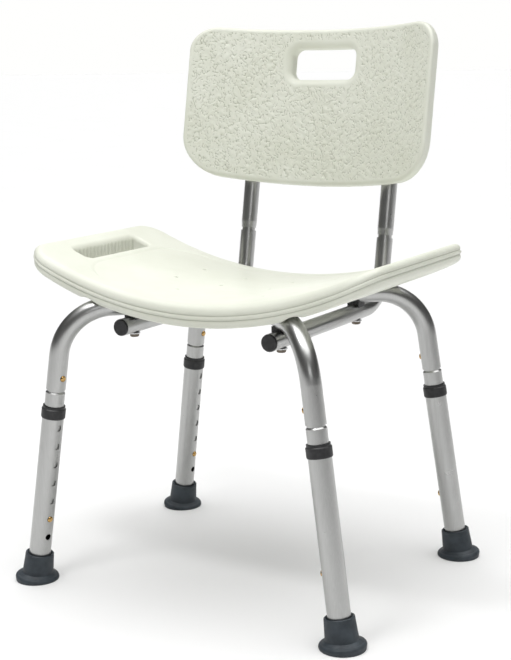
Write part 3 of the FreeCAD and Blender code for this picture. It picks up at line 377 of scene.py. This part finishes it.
def bow_room(x, y, z, solid):
    """Channels in the underside for the two bows, wider where the bows are pressed flat."""
    for way in (1, -1):
        along_x, along_y = math.cos(BOW_AIM), way * math.sin(BOW_AIM)
        across = np.abs(y * along_x - x * along_y)
        along = np.abs(x * along_x + y * along_y)
        round_roof = np.hypot(across, np.maximum(z - BOW_HEIGHT, 0)) - CHANNEL_RADIUS
        pressed = np.maximum(along - CHANNEL_FLAT_HALF[0], across - CHANNEL_FLAT_HALF[1])
        pressed = np.maximum(pressed, z - BOW_HEIGHT - CHANNEL_FLAT_ROOF)
        solid = round_cut(solid, np.minimum(round_roof, pressed), 1.5 * MM)
    return solid


def make_seat():
    """Blow-moulded seat, sampled on a sheet of cells that follows its curve."""
    cell = (1.5 * MM, 1.5 * MM, 1.0 * MM)
    reach = (SEAT_HALF_WIDTH + 6 * MM, SEAT_HALF_DEPTH + 6 * MM)
    low = (-reach[0], -reach[1], -4 * MM)
    high = (reach[0], reach[1], 36 * MM)
    x, y, lift = grid(low, high, cell)
    solid = seat_field(x, y, lift)
    solid = drain_holes(x, y, solid)
    z = lift + arch(x, UNDER_HEIGHT, UNDER_BEND)
    solid = bow_room(x, y + SEAT_MIDDLE + FORWARD, z, solid)
    points, quads = surface_nets(solid, low, cell)
    points[:, 2] += arch(points[:, 0], UNDER_HEIGHT, UNDER_BEND)
    points[:, 1] += SEAT_MIDDLE
    seat = mesh_object("moulded_seat", points, quads, MATERIALS["seat_plastic"])
    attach(seat, "frame")
    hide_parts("seat")


# ---------------------------------------------------------------- backrest

RECLINE = math.radians(10.9)
BACK_BEND = 345 * MM
BACK_THICK = 24.5 * MM
BACK_FORWARD = 17.5 * MM
BACK_HALF_WIDTH = 191.5 * MM
BACK_LOW, BACK_HIGH = 67 * MM, 288 * MM
BACK_SAG = 11 * MM
BACK_CORNER_HIGH, BACK_CORNER_LOW = 38 * MM, 50 * MM
HANDLE_UP = 239 * MM
HANDLE_HALF = (50.5 * MM, 22.5 * MM)
HANDLE_CORNER = 13 * MM
UPRIGHT_X = 110 * MM
GROOVE_RADIUS = 11.4 * MM
SEAM = Vector((0, 189 * MM - FORWARD, 435 * MM))


def wandering(random, across, up, wavelength, waves):
    """Random field made of plane waves of about one wavelength; it varies by about one."""
    total = np.zeros(np.broadcast(across, up).shape)
    for _ in range(waves):
        turn, phase = random.uniform(0, 2 * math.pi, 2)
        rate = 2 * math.pi / (wavelength * random.uniform(0.75, 1.35))
        total += np.cos(rate * (across * math.cos(turn) + up * math.sin(turn)) + phase)
    return total / math.sqrt(waves / 2)


def wrinkles(across, up):
    """Moulded grain: creases along the zero lines of a random field, cut short."""
    random = np.random.default_rng(7)
    line = wandering(random, across, up, 7.8 * MM, 36)
    breaks = wandering(random, across, up, 12.0 * MM, 24)
    swell = wandering(random, across, up, 9.0 * MM, 24)
    crease = np.exp(-(line / 0.24) ** 2) * smooth_step(breaks, -0.9, -0.2)
    return 1.3 * MM * crease - 0.15 * MM * swell


def back_field(x, y, depth, up, grain):
    """Distance field of the backrest, in the frame of the reclined uprights."""
    middle = (BACK_LOW + BACK_HIGH + BACK_SAG) / 2
    half_height = (BACK_HIGH - BACK_LOW - BACK_SAG) / 2
    sag = BACK_SAG * (1 - (x / BACK_HALF_WIDTH) ** 2) * smooth_step(middle - up, 0, 90 * MM)
    corner = BACK_CORNER_LOW + (BACK_CORNER_HIGH - BACK_CORNER_LOW) * (up > middle)
    plan = round_box(x, up + sag - middle, BACK_HALF_WIDTH, half_height, corner)
    handle = round_box(x, up - HANDLE_UP, *HANDLE_HALF, HANDLE_CORNER)
    inner = smooth_step(-plan, 6 * MM, 9 * MM) * smooth_step(handle, 9 * MM, 12 * MM)
    front = grain * inner - depth
    rear = depth - BACK_THICK

    # A fine parting line runs round the edge.
    off_ridge = depth - BACK_THICK / 2
    ridge = 0.4 * MM * np.exp(-(off_ridge / (1.0 * MM)) ** 2)
    side = plan + 0.06 * np.abs(off_ridge) + 0.4 * MM - ridge
    solid = round_and(side, front, 5.5 * MM)
    solid = round_and(solid, rear, 12 * MM)
    solid = round_cut(solid, handle + 0.06 * depth, 9 * MM)

    # Grooves in the rear face take the uprights.
    for way in (-1, 1):
        groove = np.hypot(x - way * UPRIGHT_X, y) - GROOVE_RADIUS
        solid = round_cut(solid, groove, 1.5 * MM)
    return solid


def make_backrest():
    """Blow-moulded backrest, sampled on a sheet of cells bent round the sitter."""
    cell = (0.85 * MM, 1.1 * MM, 0.85 * MM)
    low = (-204 * MM, -4 * MM, BACK_LOW - 5 * MM)
    high = (204 * MM, BACK_THICK + 5 * MM, BACK_HIGH + 5 * MM)
    across, depth, up = grid(low, high, cell)
    angle = across / BACK_BEND
    x = (BACK_BEND + depth) * np.sin(angle)
    y = (BACK_BEND + depth) * np.cos(angle) - BACK_BEND - BACK_FORWARD
    solid = back_field(x, y, depth, up, wrinkles(across, up))
    points, quads = surface_nets(solid, low, cell)
    angle = points[:, 0] / BACK_BEND
    radius = BACK_BEND + points[:, 1]
    y = radius * np.cos(angle) - BACK_BEND - BACK_FORWARD
    local = np.stack([radius * np.sin(angle), y, points[:, 2]], axis=1)
    turn = np.array(Matrix.Rotation(-RECLINE, 3, "X"))
    world = local @ turn.T + np.array(SEAM)
    back = mesh_object("moulded_backrest", world, quads, MATERIALS["backrest_plastic"])
    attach(back, "back")
    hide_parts("backrest")


# ---------------------------------------------------------------- stage

VIEW_TURN, VIEW_TILT, VIEW_ROLL = (math.radians(a) for a in (31.09, 11.20, -0.97))
VIEW_PLACE = Vector((926.5 * MM, -1515.2 * MM - FORWARD, 680.8 * MM))
VIEW_LENS, VIEW_SENSOR = 74.70, 36
CEILING_EDGES, CEILING_LEVELS = (0.50, 0.92), (0.09, 0.40)      # by the sine of the height
BACKDROP_EDGES, BACKDROP_LEVELS = (0.86, 0.94), (0.0, 1.0)      # by the cosine off the view
FLOOR_HALF = 60.0
FLOOR_COLOUR = (0.88, 0.88, 0.88)
KEY = {"place": (-0.1, -0.6, 1.5), "size": (0.25, 0.15), "power": 4.2}
FILL = {"place": (1.9, -2.4, 1.5), "size": (1.4, 0.8), "power": 6.0}
OVERHEAD_STRENGTH = 2.9
OVERHEAD_SPREAD = math.radians(75)
OVERHEAD_LEAN = (math.radians(-4), math.radians(3), 0)


def plain(name, colour, roughness):
    """Faintly uneven studio surface."""
    material, nodes, links, shader = new_material(name)
    darker = tuple(c * 0.985 for c in colour)
    links.new(ramp(nodes, links, noise(nodes, links, 3, 2), ((0.3, darker), (0.7, colour))),
              shader.inputs["Base Color"])
    shader.inputs["Roughness"].default_value = roughness
    return material


def make_floor():
    """Pale floor, wide enough to reach the horizon."""
    corners = [(x * FLOOR_HALF, y * FLOOR_HALF, 0) for x, y in ((-1, -1), (1, -1), (1, 1), (-1, 1))]
    mesh = bpy.data.meshes.new("floor")
    mesh.from_pydata(corners, [], [(0, 1, 2, 3)])
    mesh.materials.append(plain("pale_floor", FLOOR_COLOUR, 0.8))
    floor = bpy.data.objects.new("floor", mesh)
    SCENE.collection.objects.link(floor)


def blend_by(nodes, links, value, edges, levels):
    """Smooth change from one brightness to another as a value crosses its two edges."""
    node = nodes.new("ShaderNodeMapRange")
    node.interpolation_type = "SMOOTHSTEP"
    node.inputs["From Min"].default_value, node.inputs["From Max"].default_value = edges
    node.inputs["To Min"].default_value, node.inputs["To Max"].default_value = levels
    links.new(value, node.inputs["Value"])
    return node.outputs["Result"]


def make_world():
    """A studio: a bright soft ceiling, dim walls and a white backdrop behind the chair."""
    world = bpy.data.worlds.new("studio")
    world.use_nodes = True
    nodes, links = world.node_tree.nodes, world.node_tree.links
    way = nodes.new("ShaderNodeTexCoord").outputs["Generated"]
    split = nodes.new("ShaderNodeSeparateXYZ")
    links.new(way, split.inputs["Vector"])
    ceiling = blend_by(nodes, links, split.outputs["Z"], CEILING_EDGES, CEILING_LEVELS)
    facing = nodes.new("ShaderNodeVectorMath")
    facing.operation = "DOT_PRODUCT"
    facing.inputs[1].default_value = (-math.sin(VIEW_TURN), math.cos(VIEW_TURN), 0)
    links.new(way, facing.inputs[0])
    backdrop = blend_by(nodes, links, facing.outputs["Value"], BACKDROP_EDGES, BACKDROP_LEVELS)
    total = nodes.new("ShaderNodeMath")
    total.operation = "MAXIMUM"
    links.new(ceiling, total.inputs[0])
    links.new(backdrop, total.inputs[1])
    background = nodes["Background"]
    background.inputs["Color"].default_value = (1.0, 1.0, 0.99, 1)
    links.new(total.outputs["Value"], background.inputs["Strength"])
    SCENE.world = world


def area_light(name, target, place, size, power):
    """Soft box of light at a place, turned to its target."""
    light = bpy.data.lights.new(name, "AREA")
    light.shape = "RECTANGLE"
    light.size, light.size_y = size
    light.energy = power
    lamp = bpy.data.objects.new(name, light)
    lamp.location = place
    lamp.rotation_mode = "QUATERNION"
    lamp.rotation_quaternion = (Vector(place) - Vector(target)).to_track_quat("Z", "Y")
    SCENE.collection.objects.link(lamp)


def make_lights():
    """A wide light overhead, a small soft box above the seat and a large one in front."""
    middle = (cad_low + cad_high) / 2
    area_light("key", middle, **KEY)
    area_light("fill", middle, **FILL)
    sun = bpy.data.lights.new("overhead", "SUN")
    sun.energy = OVERHEAD_STRENGTH
    sun.angle = OVERHEAD_SPREAD
    lamp = bpy.data.objects.new("overhead", sun)
    lamp.rotation_euler = OVERHEAD_LEAN
    SCENE.collection.objects.link(lamp)


def make_camera():
    """The viewpoint: right of the chair's front, a little above the seat."""
    level = math.cos(VIEW_TILT)
    back = Vector((math.sin(VIEW_TURN) * level, -math.cos(VIEW_TURN) * level, math.sin(VIEW_TILT)))
    right = Vector((math.cos(VIEW_TURN), math.sin(VIEW_TURN), 0))
    up = back.cross(right)
    across = math.cos(VIEW_ROLL) * right + math.sin(VIEW_ROLL) * up
    upright = -math.sin(VIEW_ROLL) * right + math.cos(VIEW_ROLL) * up
    data = bpy.data.cameras.new("camera")
    data.sensor_width = VIEW_SENSOR
    data.lens = VIEW_LENS
    camera = bpy.data.objects.new("camera", data)
    turned = Matrix((across, upright, back)).transposed().to_4x4()
    camera.matrix_world = Matrix.Translation(VIEW_PLACE) @ turned
    SCENE.collection.objects.link(camera)
    SCENE.camera = camera


make_camera()
dress_frame()
make_seat()
make_backrest()
make_floor()
make_world()
make_lights()
SCENE.view_settings.view_transform = "Standard"
